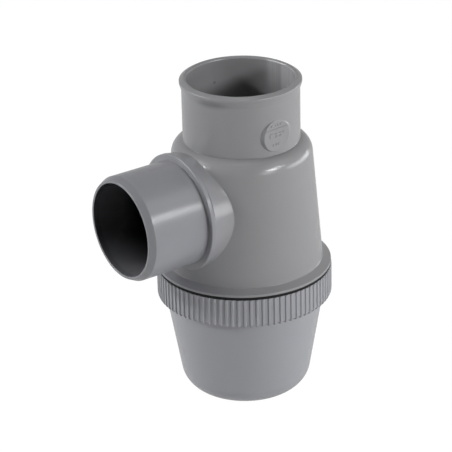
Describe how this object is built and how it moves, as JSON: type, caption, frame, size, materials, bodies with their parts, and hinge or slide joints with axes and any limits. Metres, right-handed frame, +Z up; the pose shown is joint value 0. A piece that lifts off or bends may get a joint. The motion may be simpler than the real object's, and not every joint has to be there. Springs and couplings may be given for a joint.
{
  "type": "sink trap",
  "caption": "Plastic bottle trap for a waste pipe: plain socket on top, side outlet spigot with a stop collar, and a screwed clean-out cup with a ribbed grip.",
  "frame": {"origin": "middle of the cup's foot, where the trap stands", "axes": "+Z up along the axis of the inlet socket, the casing and the cup; -X along the outlet spigot, pointing out of it; the marking pad faces -Y"},
  "size_m": [0.1113, 0.0836, 0.159],
  "materials": {
    "body_pvc": "satin moulded PVC, grey",
    "seal_rubber": "black rubber, matt",
    "cup_pvc": "satin moulded PVC, grey"
  },
  "bodies": {
    "body": {"trap_body": "body_pvc"},
    "seal": {"seal_ring": "seal_rubber"},
    "cup": {"cup": "cup_pvc"}
  },
  "joints": [
    {"name": "seal_drop", "type": "slide", "parent": "body", "child": "seal", "axis": [0, 0, -1], "range_m": [0, 0.012]},
    {"name": "cup_turn", "type": "hinge", "parent": "seal", "child": "cup", "pos_m": [0, 0, 0.0564], "axis": [0, 0, -1], "range_deg": [0, 1080]}
  ],
  "couplings": [
    {"joint": "seal_drop", "follows": "cup_turn", "m_per_rad": 0.0006366}
  ]
}
